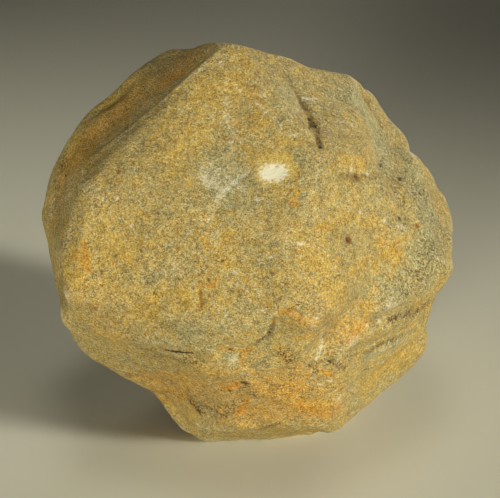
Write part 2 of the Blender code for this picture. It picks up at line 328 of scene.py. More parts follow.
def thinned(obj):
    """Brings the mesh down to its number of triangles, with the most left where the marks lie."""
    points, normals = surface(obj)
    rear = obj.vertex_groups.new(name="rear")
    for index, away in enumerate(unseen(points, normals)):
        rear.add([index], 0.5 + 0.5 * float(away), "REPLACE")
    triangles = sum(len(face.vertices) - 2 for face in obj.data.polygons)
    thin = obj.modifiers.new("Thin", "DECIMATE")
    thin.ratio = TRIANGLES / triangles
    thin.vertex_group = "rear"
    thin.vertex_group_factor = REAR_THINNING
    settle(obj)


settle_on_spot(stone)
thinned(stone)
settle_on_spot(stone)

# Stains, frosting and wear on the stone.
# Iron from decayed grains has run out as rust, pale feldspar shows as white grains and frosting,
# and dark grains gather where the skin is rough.

# Each mark has a path as (right, up), a width, and a strength
RUST = (
    (((-11.5, 25.1), (-10.3, 25.6), (-9.6, 26.0)), 0.5, 1.3),
    (((-12.1, 24.7), (-13.6, 23.7)), 0.6, 0.7),
    (((-24.6, 0.7), (-24.1, -0.8), (-23.9, -3.0)), 0.55, 1.2),
    (((-26.3, -1.0), (-25.4, -1.2), (-24.5, -1.9)), 0.5, 1.0),
    (((-26.0, 0.3), (-25.8, 0.2)), 0.4, 0.7),
    (((-17.8, -0.9), (-17.4, -2.0)), 0.45, 0.8),
    (((-4.9, -4.2), (-5.3, -5.0), (-5.9, -5.5), (-6.7, -5.3)), 0.45, 1.05),
    (((-7.5, -5.7), (-7.4, -6.8), (-7.2, -7.9), (-7.1, -8.7)), 0.36, 1.3),
    (((-7.7, -2.2), (-7.5, -2.3)), 0.4, 0.6),
    (((-8.1, 2.5), (-6.3, 1.0), (-6.0, 0.4)), 0.45, 0.75),
    (((-3.2, 1.8), (-4.2, -0.1)), 0.6, 0.6),
    (((-14.6, -7.3), (-13.8, -8.3)), 0.45, 0.6),
    (((-0.8, -4.5), (-0.6, -4.5)), 0.5, 0.65),
    (((-0.7, -12.4), (0.6, -12.3)), 0.6, 0.7),
    (((-4.0, -14.6), (-2.3, -14.9), (-0.5, -15.0), (0.6, -14.5)), 0.5, 0.85),
    (((-0.8, -15.0), (-1.3, -16.8)), 0.7, 0.85),
    (((-3.8, -20.4), (-2.8, -20.6), (-2.0, -19.8)), 0.7, 1.15),
    (((-0.4, -22.0), (-0.9, -23.0), (-1.5, -23.9)), 0.7, 1.05),
    (((-13.9, -21.4), (-11.4, -22.9)), 0.8, 0.6),
    (((9.9, 3.2), (11.7, 3.1)), 0.42, 0.95),
    (((20.3, -0.4), (21.6, -0.2)), 0.55, 0.85),
    (((19.0, 1.0), (21.0, 0.8), (23.0, 1.4)), 0.6, 0.75),
    (((22.4, -0.2), (21.9, -1.0), (21.3, -2.4), (20.4, -4.4)), 0.4, 0.85),
    (((17.3, -1.4), (16.2, -2.0), (14.7, -3.8), (14.0, -4.4)), 0.4, 0.75),
    (((24.4, 3.5), (24.8, 3.4)), 0.45, 0.8),
    (((3.5, -10.6), (4.3, -9.4), (5.3, -9.0), (6.6, -9.0), (7.4, -10.1), (8.1, -10.6)), 0.5, 0.85),
    (((5.6, -9.1), (7.0, -9.8)), 0.65, 0.95),
    (((17.1, -9.8), (16.8, -10.3)), 0.4, 0.8),
    (((17.3, -10.6), (15.5, -12.3), (14.5, -13.4)), 0.6, 0.85),
    (((14.0, -12.0), (14.2, -12.2)), 0.4, 0.7),
    (((9.3, -13.4), (12.3, -13.6)), 0.8, 0.5),
    (((11.3, -15.1), (11.8, -15.3)), 0.4, 0.8),
    (((6.7, -13.2), (6.9, -13.3)), 0.5, 0.75),
    (((4.4, -14.6), (5.2, -16.2)), 0.9, 0.65),
    (((10.9, -18.1), (11.9, -18.5)), 0.6, 1.2),
    (((13.1, -20.1), (13.8, -20.9)), 0.45, 1.0),
    (((8.2, -18.5), (8.8, -18.8)), 0.45, 0.85),
    (((5.9, -20.0), (6.8, -19.2), (7.7, -19.1)), 0.35, 0.75),
    (((7.3, -23.1), (9.3, -23.6)), 1.0, 0.8),
    (((10.0, -24.0), (11.2, -24.3)), 0.8, 0.75),
    (((6.2, 7.0), (6.7, 6.6)), 0.5, 1.1),
    (((6.0, 13.1), (6.6, 12.0), (6.8, 10.5), (7.1, 8.7), (6.5, 7.1)), 0.38, 0.85),
    (((0.7, 19.2), (2.2, 18.1)), 1.2, 0.5),
    (((-0.8, 23.5), (1.8, 22.0)), 1.4, 0.4),
    (((15.6, 13.4), (16.5, 13.1)), 0.5, 0.8),
    (((14.0, 20.3), (14.1, 19.1)), 0.45, 0.6),
    (((11.0, -7.0), (11.2, -7.1)), 0.4, 0.6),
    (((2.8, -7.6), (3.0, -8.8)), 0.45, 0.6),
    (((6.6, -4.1), (6.8, -4.4)), 0.5, 0.75),
    (((12.9, -1.3), (13.1, -1.3)), 0.5, 0.6),
    (((27.9, -5.2), (26.6, -6.2)), 0.45, 0.7),
    (((21.3, -16.0), (19.5, -17.3), (18.2, -19.0)), 0.8, 0.55),
    (((24.0, -17.3), (21.0, -20.8), (18.0, -22.8)), 0.6, 0.45),
)
YELLOW = (
    (((-27.0, -3.5), (-25.3, -3.8)), 1.2, 0.9),
    (((-25.5, -1.0), (-24.8, -2.0)), 1.2, 0.8),
    (((-18.6, -1.0), (-17.8, -1.2)), 0.8, 0.8),
    (((-14.5, -7.6), (-13.0, -6.6)), 0.9, 1.0),
    (((-16.5, -9.0), (-13.5, -9.2)), 1.0, 0.7),
    (((-10.5, -7.0), (-8.0, -8.5)), 1.3, 0.8),
    (((-3.2, 2.2), (-2.5, 1.4)), 1.2, 0.9),
    (((-4.0, -1.6), (-2.6, -2.0)), 1.1, 0.7),
    (((7.5, -1.5), (12.5, -3.5), (13.0, -6.5)), 2.2, 0.6),
    (((19.3, -0.9), (21.8, -0.9)), 1.0, 1.1),
    (((18.3, -2.3), (18.6, -2.5)), 0.8, 0.8),
    (((13.8, 4.6), (18.3, 4.2)), 1.3, 0.5),
    (((-12.5, -18.4), (-10.0, -18.6)), 1.0, 0.7),
    (((-7.0, -18.2), (-4.5, -18.3)), 0.9, 0.8),
    (((7.5, -13.0), (9.5, -12.6)), 0.8, 0.8),
    (((6.0, -21.5), (11.5, -23.5)), 2.5, 0.9),
    (((5.0, 16.0), (6.8, 15.2)), 1.1, 0.7),
    (((5.9, 14.7), (5.9, 13.4)), 0.6, 0.6),
    (((13.5, 13.3), (16.3, 12.6)), 1.0, 0.8),
    (((9.3, 7.4), (9.5, 7.4)), 0.6, 0.6),
    (((7.0, 2.5), (12.5, 3.5)), 1.6, 0.4),
    (((-20.0, 8.0), (-18.0, 4.0), (-20.0, 0.0)), 3.0, 0.3),
    (((-12.0, 14.0), (-9.0, 19.0), (-4.0, 24.0)), 3.5, 0.3),
    (((-17.0, 25.0), (-22.0, 19.5), (-26.5, 13.0)), 3.0, 0.6),
    (((16.0, -20.5), (20.0, -17.0), (24.0, -14.5)), 2.2, 0.6),
)
FROST = (
    (((-4.5, 28.2), (-3.7, 26.0), (-3.8, 23.8), (-3.2, 21.9)), 0.75, 0.50),
    (((-3.4, 21.3), (-3.6, 19.7), (-3.2, 18.1), (-2.4, 17.1)), 0.8, 0.65),
    (((-2.9, 15.6), (-2.9, 14.6)), 0.55, 0.8),
    (((-1.9, 23.9), (-1.5, 23.2)), 0.45, 0.75),
    (((-1.6, 16.0), (-1.4, 15.8)), 0.4, 0.7),
    (((-5.7, 12.3), (-4.7, 11.2), (-4.8, 10.1)), 0.6, 0.8),
    (((-6.9, 10.3), (-6.0, 9.5)), 0.75, 0.95),
    (((-0.3, 11.3), (-2.1, 10.0), (-3.3, 8.8), (-4.3, 8.1), (-4.8, 7.1)), 0.65, 1.05),
    (((-6.6, 11.0), (-4.9, 9.2), (-2.9, 10.6)), 1.3, 0.70),
    (((-4.8, 7.1), (-5.5, 5.9), (-5.9, 4.1)), 0.60, 0.60),
    (((-1.3, 9.3), (-1.0, 8.8)), 0.5, 0.85),
    (((-7.3, 4.1), (-6.6, 3.5)), 0.6, 0.65),
    (((-3.3, 6.9), (-3.1, 6.1)), 0.45, 0.6),
    (((1.6, 20.9), (2.3, 20.1)), 0.4, 0.75),
    (((2.0, 22.8), (2.2, 22.5)), 0.4, 0.7),
    (((3.7, 19.0), (4.6, 17.7)), 0.6, 0.5),
    (((5.7, 16.9), (6.9, 16.7)), 0.5, 0.8),
    (((7.9, 22.2), (9.7, 22.1)), 0.4, 1.05),
    (((14.9, 23.0), (15.5, 20.0)), 0.8, 0.45),
    (((12.9, 18.6), (14.2, 18.7), (14.9, 18.2)), 0.35, 0.65),
    (((14.6, 24.0), (15.3, 23.5)), 0.45, 0.6),
    (((7.4, 9.9), (7.6, 9.6)), 0.5, 0.8),
    (((13.0, 6.5), (14.8, 6.3)), 0.55, 0.6),
    (((21.8, 3.4), (22.6, 3.4)), 0.5, 0.85),
    (((6.5, 0.9), (7.7, 0.7)), 0.4, 0.9),
    (((3.5, 1.4), (6.0, 0.9)), 0.5, 0.5),
    (((-20.4, 15.1), (-19.4, 16.1), (-18.4, 17.1), (-17.5, 17.8)), 0.50, 0.55),
    (((-13.4, 21.3), (-12.4, 22.1)), 0.45, 0.45),
    (((-7.5, 26.0), (-6.3, 27.2)), 0.35, 0.6),
    (((-24.6, 11.8), (-24.6, 10.4)), 0.4, 0.9),
    (((-27.2, 7.4), (-27.0, 7.1)), 0.5, 0.85),
    (((-27.2, 2.6), (-26.8, 1.6)), 0.6, 0.6),
    (((-27.8, 9.5), (-28.2, 7.6)), 0.3, 0.5),
    (((-11.5, -2.4), (-10.5, -3.7)), 1.0, 0.6),
    (((-2.3, -3.4), (-2.1, -3.4)), 0.45, 0.8),
    (((2.0, -9.0), (2.2, -9.1)), 0.5, 0.7),
    (((-2.6, -15.8), (-2.3, -16.3)), 0.8, 0.8),
    (((9.3, -10.8), (9.6, -11.8)), 0.4, 0.75),
    (((10.5, -12.4), (10.5, -13.8), (10.2, -15.3)), 0.45, 1.1),
    (((9.9, -15.8), (9.7, -16.2)), 0.4, 0.9),
    (((13.0, -21.6), (13.2, -22.4)), 0.55, 0.8),
    (((9.2, -17.9), (9.4, -18.2)), 0.4, 0.75),
    (((-7.8, -25.7), (-7.2, -26.1), (-6.0, -26.5)), 0.38, 1.1),
    (((22.4, -13.3), (21.2, -14.1), (19.3, -15.0), (16.9, -16.0)), 0.8, 0.45),
    (((-8.0, -9.6), (-7.6, -9.8)), 0.5, 0.6),
)
GREY_GREEN = (
    (((15.5, 22.5), (18.5, 17.5), (19.5, 13.0)), 2.8, 1.2),
    (((24.0, 10.0), (26.5, 4.0), (25.0, -3.0)), 4.0, 0.9),
    (((20.5, -6.5), (24.5, -6.5)), 2.2, 0.7),
    (((15.6, -6.0), (17.0, -6.5)), 1.2, 0.7),
    (((22.2, -13.6), (19.3, -15.0), (16.9, -16.1)), 1.1, 1.1),
    (((6.9, 23.5), (5.5, 19.0), (7.5, 14.0)), 2.2, 0.5),
    (((-4.5, 13.0), (-3.5, 9.5), (-1.0, 8.0)), 3.0, 0.6),
    (((-3.0, -15.4), (-1.9, -16.6)), 1.2, 0.9),
    (((0.5, -18.0), (3.0, -17.0)), 1.6, 0.6),
    (((9.0, 9.0), (8.0, 5.0)), 2.2, 0.5),
    (((-18.0, -16.8), (-16.8, -17.6)), 0.9, 0.9),
    (((-18.0, -14.0), (-14.0, -14.0)), 1.6, 0.4),
    (((14.5, -20.5), (15.5, -23.5)), 1.5, 0.6),
    (((-9.0, -12.0), (-3.0, -12.3)), 1.6, 0.5),
    (((-16.0, -13.6), (-6.0, -14.2)), 1.2, 0.5),
)
DARK_GRAINS = (
    (((20.0, 9.5), (25.0, 8.0), (28.0, 3.0)), 3.2, 0.6),
    (((22.5, -6.5), (24.5, -3.5), (27.5, -0.5)), 2.6, 0.75),
    (((21.5, 15.1), (21.7, 14.9)), 0.5, 0.9),
    (((19.3, 13.0), (19.0, 11.9)), 0.4, 1.1),
    (((28.8, 3.0), (29.1, 2.8)), 0.5, 1.0),
    (((28.6, -3.4), (28.9, -3.5)), 0.6, 0.9),
    (((20.6, -10.4), (22.2, -9.8), (23.7, -9.6), (25.0, -9.0), (26.0, -7.8)), 0.65, 1.5),
    (((22.2, -12.8), (20.6, -13.4), (19.0, -14.1), (17.2, -15.2)), 0.45, 1.1),
    (((16.2, -15.4), (14.6, -15.6), (14.0, -16.0)), 0.45, 0.7),
    (((-9.0, -21.8), (-7.6, -23.4), (-7.3, -23.9)), 1.0, 1.4),
    (((-4.8, -24.0), (-3.9, -24.4)), 0.6, 1.6),
    (((-6.6, -21.4), (-6.2, -21.5)), 0.5, 1.1),
    (((-3.0, -24.0), (-2.8, -24.1)), 0.45, 1.2),
    (((-2.3, -22.3), (-2.0, -22.5)), 0.45, 1.1),
    (((-8.5, -22.5), (-5.0, -23.6), (-2.0, -22.8)), 1.6, 0.7),
    (((-1.1, -19.6), (-0.4, -19.8)), 0.5, 1.8),
    (((-0.5, -20.6), (0.9, -21.5)), 0.9, 0.9),
    (((4.3, -15.1), (5.0, -15.9), (5.7, -16.5)), 0.8, 1.4),
    (((12.0, -16.5), (13.0, -17.0), (13.9, -17.4)), 0.7, 1.2),
    (((8.9, -17.2), (9.6, -18.0)), 0.5, 1.1),
    (((7.4, -21.5), (7.6, -21.7)), 0.4, 1.0),
    (((4.3, -23.4), (4.5, -23.6)), 0.45, 1.1),
    (((1.5, -26.6), (2.6, -26.1), (4.1, -25.7)), 0.45, 1.0),
    (((3.1, -12.1), (2.3, -12.9), (1.2, -13.6)), 0.45, 1.2),
    (((6.9, -8.0), (7.8, -8.3)), 0.4, 1.0),
    (((3.8, -7.0), (4.6, -7.6)), 0.5, 0.9),
    (((9.5, -6.8), (10.0, -7.5)), 0.6, 0.8),
    (((-15.5, -15.6), (-11.0, -16.3), (-7.5, -16.6)), 1.2, 0.75),
    (((-19.0, -16.4), (-13.0, -17.6), (-6.0, -17.6)), 1.6, 0.4),
    (((-2.9, -14.6), (-2.7, -14.7)), 0.45, 1.0),
    (((-27.6, 12.6), (-26.9, 11.0)), 1.4, 1.1),
    (((-28.4, 9.5), (-28.2, 6.0)), 1.0, 0.6),
    (((5.9, -15.3), (6.5, -19.5), (3.0, -21.5)), 1.6, 0.55),
    (((8.5, 19.1), (9.0, 18.6), (8.7, 17.6)), 0.45, 1.7),
    (((9.5, 18.0), (9.9, 16.8), (10.1, 15.6), (10.4, 14.7)), 0.4, 1.3),
    (((11.0, 13.0), (11.3, 12.6)), 0.45, 1.0),
    (((9.1, 8.9), (9.3, 8.8)), 0.45, 0.9),
    (((10.5, 10.1), (10.7, 9.9)), 0.4, 0.9),
    (((-16.0, -14.7), (-13.8, -14.8), (-12.4, -14.8)), 0.35, 1.2),
    (((-14.1, -6.4), (-14.0, -6.6)), 0.4, 1.0),
    (((-14.0, 14.8), (-13.0, 14.0)), 1.6, 0.4),
)
BROWN = (
    (((14.3, 1.3), (14.5, 1.3)), 0.5, 1.5),
    (((5.9, 24.7), (7.1, 22.3), (8.4, 20.4), (9.6, 18.2), (10.0, 16.3)), 0.85, 0.8),
    (((10.3, 18.5), (11.0, 17.0)), 1.0, 0.5),
    (((10.9, 13.8), (12.3, 13.0)), 1.3, 0.5),
    (((12.0, 21.5), (13.0, 19.5)), 1.5, 0.4),
    (((14.0, 11.0), (15.6, 10.5)), 0.8, 0.8),
    (((20.8, 10.6), (21.6, 9.8)), 0.6, 0.7),
    (((26.6, 8.2), (27.6, 6.6)), 0.6, 0.7),
    (((3.6, -11.0), (3.1, -12.1), (1.5, -13.4), (0.3, -14.4)), 0.6, 0.8),
    (((4.3, -15.0), (5.7, -16.5)), 1.1, 0.7),
    (((12.0, -16.5), (13.9, -17.4)), 0.8, 0.8),
    (((10.8, -10.2), (12.0, -11.5)), 1.0, 0.5),
    (((-13.0, -22.0), (-9.0, -21.0)), 2.0, 0.5),
    (((-9.0, -21.8), (-7.3, -23.9)), 1.1, 0.8),
    (((-15.5, -15.4), (-8.0, -16.2)), 1.3, 0.45),
    (((-27.9, 11.0), (-28.2, 7.0)), 2.0, 0.5),
    (((26.5, -8.0), (20.5, -10.2)), 0.8, 0.7),
    (((22.2, -12.8), (20.6, -13.4), (19.0, -14.1), (17.2, -15.2), (14.0, -15.9)), 0.6, 0.8),
    (((23.5, -9.8), (22.4, -12.2)), 0.8, 0.4),
    (((1.5, -26.6), (4.1, -25.7)), 0.6, 0.8),
    (((-9.8, 27.2), (-14.0, 24.0), (-20.0, 19.5)), 2.6, 0.4),
)
# The warm tint on the front lies on the faces in shade, the dark upper left face, the overhang and the foot:
# painted warm shade
WARM_AND_SHADED_AREAS = (
    (((-14.0, -19.5), (-5.0, -21.0), (6.0, -20.0)), 5.5, 0.8),
    (((-3.0, -24.0), (6.0, -23.5), (11.5, -24.0)), 4.0, 0.9),
    (((9.5, -10.5), (15.0, -12.0)), 3.5, 0.6),
    (((-9.8, 27.2), (-18.0, 21.0), (-25.0, 14.0)), 3.5, 1.0),
    (((-27.0, 12.0), (-28.2, 5.0)), 2.5, 0.9),
    (((-24.0, -8.0), (-18.0, -13.0)), 4.0, 0.4),
)
WHITE_PATCH = (
    (((2.6, 11.0), (3.2, 11.3), (4.2, 11.2)), 1.5, 1.2),
)
PATCH_RIM = (
    (((1.8, 13.1), (3.2, 13.5), (5.1, 13.4), (5.9, 12.6), (6.3, 11.0)), 0.8, 0.9),
)

# Small spots, each as right, up and radius
BLACK_SPOTS = (
    (22.0, 10.35, 0.32), (21.9, 4.5, 0.40), (15.6, 10.7, 0.32), (-3.0, -20.8, 0.28), (8.7, 19.0, 0.36),
    (8.6, 17.8, 0.28), (-21.8, -3.4, 0.26), (-19.7, -1.1, 0.26), (-6.1, -4.5, 0.24), (-16.0, -0.3, 0.22),
    (-20.0, -4.4, 0.22), (20.4, -4.3, 0.28), (-7.5, -23.8, 0.40), (-0.8, -19.7, 0.40), (19.1, 12.2, 0.28),
    (-4.0, -1.8, 0.24), (2.9, -12.3, 0.30), (10.3, 15.0, 0.30), (-2.9, -14.7, 0.28),
)
RED_SPOTS = (
    (14.4, 1.3, 0.52), (3.4, -3.6, 0.28), (-6.0, 0.6, 0.26), (0.7, 24.0, 0.26), (-7.5, -3.8, 0.28),
    (-9.2, 26.8, 0.30), (-19.3, 11.3, 0.36), (24.6, 3.4, 0.40), (21.0, -13.2, 0.36), (13.5, -20.6, 0.40),
)
WHITE_SPOTS = (
    (1.1, 21.3, 0.36), (-17.4, 3.4, 0.34), (-15.1, 1.9, 0.28), (1.3, -6.2, 0.28), (-26.6, 7.9, 0.42),
    (15.1, 18.1, 0.30), (14.4, 17.5, 0.28), (14.9, 11.7, 0.36), (17.3, 11.1, 0.44), (16.2, 5.4, 0.34),
    (19.8, 4.1, 0.34), (7.3, 0.8, 0.36), (4.6, 4.0, 0.26), (-0.9, 4.9, 0.26), (1.1, 7.2, 0.34),
    (3.0, -1.2, 0.28), (11.6, -1.1, 0.28), (-5.5, 2.0, 0.28), (11.8, -19.3, 0.42), (10.3, -19.9, 0.34),
    (9.0, -19.0, 0.28), (9.8, -10.2, 0.36), (-19.5, 7.4, 0.34), (17.1, -11.2, 0.30), (19.0, -10.6, 0.28),
    (27.6, -1.3, 0.28), (8.2, 22.15, 0.34), (9.3, 22.15, 0.34), (-7.7, -25.8, 0.32), (13.2, 23.5, 0.28),
    (13.1, -21.9, 0.40), (-2.2, -3.4, 0.32), (-21.5, 7.2, 0.26),
)


# How far the surface is smoothed to tell its hollows, and how deep one counts in full
HOLLOW_PASSES = 30
FULL_HOLLOW = 0.25
# How far apart the places are that stand for the open crack in the material
CRACK_STEP = 1.3


def hollowness(obj, passes):
    """How far each point lies below the smoothed surface: over zero in hollows, under it on edges."""
    points, normals = surface(obj)
    edges = np.empty(len(obj.data.edges) * 2, np.int32)
    obj.data.edges.foreach_get("vertices", edges)
    one, other = edges.reshape(-1, 2).T
    count = np.bincount(one, minlength=len(points)) + np.bincount(other, minlength=len(points))
    smooth = points.copy()
    for _ in range(passes):
        for axis in range(3):
            line = smooth[:, axis].copy()
            total = np.bincount(one, line[other], len(points)) + np.bincount(other, line[one], len(points))
            smooth[:, axis] = 0.5 * line + 0.5 * total / count
    return np.sum((smooth - points) * normals, axis=1)


def mark(obj, name, values):
    """Writes one value for each point of the mesh, for the material to read."""
    layer = obj.data.attributes.new(name, "FLOAT", "POINT")
    layer.data.foreach_set("value", values.astype(np.float32))


def beyond_spots(points, shell, spots):
    """How far each point lies outside the nearest of the spots, and under zero inside it."""
    least = np.full(len(points), 2.0)
    for right, up, radius in spots:
        centre = traced(shell, ((right, up), (right, up)))[0]
        least = np.minimum(least, np.linalg.norm(points - centre, axis=1) - radius)
    return least


def mark_stone(obj):
    """Places the marks of the front, and spreads like ones over the other sides."""
    points, normals = surface(obj)
    shell = shell_of(obj)
    away = unseen(points, normals)
    broad = pattern(points, 9.0, (1.3, 8.8, 4.2))
    other_broad = pattern(points, 7.0, (6.1, 2.4, 7.9))
    small = pattern(points, 2.6, (3.7, 5.5, 0.8))
    rough = roughness_of_skin(points, normals, shell)
    # The marks of the front, with how strongly each kind lies on the other sides
    marks = {
        "rust": (RUST, soft_step(broad + 0.5 * small, 0.25, 0.75)),
        "yellow": (YELLOW, soft_step(other_broad, 0.05, 0.5)),
        "frost": (FROST, soft_step(small - broad, 0.35, 0.9)),
        "grey_green": (GREY_GREEN, soft_step(-other_broad, 0.0, 0.4)),
        "dark_grains": (DARK_GRAINS, 0.7 * rough),
        "brown": (BROWN, 0.6 * soft_step(-broad, 0.1, 0.5)),
        # The warm tint: painted warm shade on the front, random warmer patches on the other sides
        "warm_and_shaded": (WARM_AND_SHADED_AREAS, soft_step(broad, 0.0, 0.4)),
    }
    for name, (areas, elsewhere) in marks.items():
        mark(obj, name, np.maximum(covered(points, shell, areas), away * elsewhere))
    mark(obj, "white_patch", covered(points, shell, WHITE_PATCH))
    mark(obj, "patch_rim", covered(points, shell, PATCH_RIM))
    mark(obj, "black_spots", beyond_spots(points, shell, BLACK_SPOTS))
    mark(obj, "red_spots", beyond_spots(points, shell, RED_SPOTS))
    mark(obj, "white_spots", beyond_spots(points, shell, WHITE_SPOTS))
    # How far each point lies below the smoothed surface, which the material turns into painted shade in the
    # hollows and a painted highlight on the edges
    mark(obj, "hollow", np.clip(hollowness(obj, HOLLOW_PASSES) / FULL_HOLLOW, -1.0, 1.0))


mark_stone(stone)
crack_places = traced(shell_of(stone), GROOVES["open crack"][0], CRACK_STEP)
stone.data.transform(Matrix.Scale(MM, 4))
stone.data.shade_smooth()

# The stone's colour and grain.
# Tan, ochre, grey and brown grains of 0.2 to 0.5 mm lie side by side. The hollows are darkened towards clay
# brown as painted shade, the standing edges are paler with wear and a painted highlight, and the faces in
# shade carry a painted warm tint.


class Shade:
    """A socket of a material. Arithmetic on it adds the Math nodes."""

    def __init__(self, tree, socket):
        self.tree = tree
        self.socket = socket

    def node(self, kind, settings=None, sockets=None, output=0):
        """Adds a node with its settings and the values or links of its sockets."""
        made = self.tree.nodes.new(kind)
        for name, value in (settings or {}).items():
            if name == "stops":
                for index, (place, colour) in enumerate(value):
                    stops = made.color_ramp.elements
                    stop = stops[index] if index < 2 else stops.new(place)
                    stop.position = place
                    stop.color = (*colour, 1.0)
            else:
                setattr(made, name, value)
        for name, value in (sockets or {}).items():
            if isinstance(value, Shade):
                self.tree.links.new(value.socket, made.inputs[name])
            else:
                made.inputs[name].default_value = value
        return Shade(self.tree, made.outputs[output])

    def math(self, operation, one, other):
        return self.node("ShaderNodeMath", {"operation": operation}, {0: one, 1: other})

    def __add__(self, other):
        return self.math("ADD", self, other)

    __radd__ = __add__

    def __mul__(self, other):
        return self.math("MULTIPLY", self, other)

    __rmul__ = __mul__

    def __sub__(self, other):
        return self.math("SUBTRACT", self, other)

    def __rsub__(self, other):
        return self.math("SUBTRACT", other, self)

    def over(self, low, high):
        """Zero below the low value, one above the high one, and smooth between."""
        return self.node(
            "ShaderNodeMapRange",
            {"interpolation_type": "SMOOTHSTEP"},
            {"Value": self, "From Min": low, "From Max": high},
        )

    def blend(self, under, upper, blend_type="MIX"):
        """Lays one colour over another by this share."""
        return self.node(
            "ShaderNodeMix",
            {"data_type": "RGBA", "blend_type": blend_type},
            {0: self, 6: under, 7: upper},
            output=2,
        )


def tone(red, green, blue):
    """A colour as a socket takes it."""
    return (red, green, blue, 1.0)


TAN_GRAINS = (
    (0.05, (0.15, 0.100, 0.034)),
    (0.25, (0.30, 0.208, 0.066)),
    (0.50, (0.43, 0.305, 0.086)),
    (0.72, (0.54, 0.385, 0.098)),
    (0.88, (0.62, 0.480, 0.168)),
    (1.00, (0.70, 0.610, 0.370)),
)
GREY_GRAINS = (
    (0.05, (0.11, 0.096, 0.040)),
    (0.25, (0.24, 0.210, 0.083)),
    (0.50, (0.37, 0.322, 0.128)),
    (0.75, (0.48, 0.420, 0.172)),
    (1.00, (0.66, 0.610, 0.370)),
)
OCHRE_GRAINS = (
    (0.05, (0.17, 0.095, 0.014)),
    (0.25, (0.33, 0.195, 0.030)),
    (0.50, (0.50, 0.315, 0.050)),
    (0.75, (0.63, 0.420, 0.072)),
    (1.00, (0.74, 0.570, 0.170)),
)
RUST_GRAINS = (
    (0.15, (0.17, 0.055, 0.010)),
    (0.40, (0.42, 0.160, 0.016)),
    (0.60, (0.62, 0.285, 0.026)),
    (0.90, (0.68, 0.400, 0.060)),
)
CLAY_AND_PAINTED_SHADE = (0.17, 0.105, 0.035)
CHALK_AND_PAINTED_HIGHLIGHT = (0.76, 0.70, 0.48)
FELDSPAR = (0.86, 0.80, 0.55)
DARK_MINERALS = (
    (0.0, (0.045, 0.040, 0.028)),
    (0.5, (0.080, 0.055, 0.022)),
    (1.0, (0.130, 0.075, 0.022)),
)
RED_BROWN = (0.20, 0.060, 0.012)
BLACK_BROWN = (0.035, 0.022, 0.012)
WARM_AND_SHADE_TINT = (1.10, 0.93, 0.74)
CRACK_WIDTH = 0.24
# How far the rims of the grains are shifted about
SHIFT = 0.35
# How high the fine relief of the grains stands
RELIEF_HEIGHT = 0.24
DULLNESS = 0.85
SHINE = 0.3


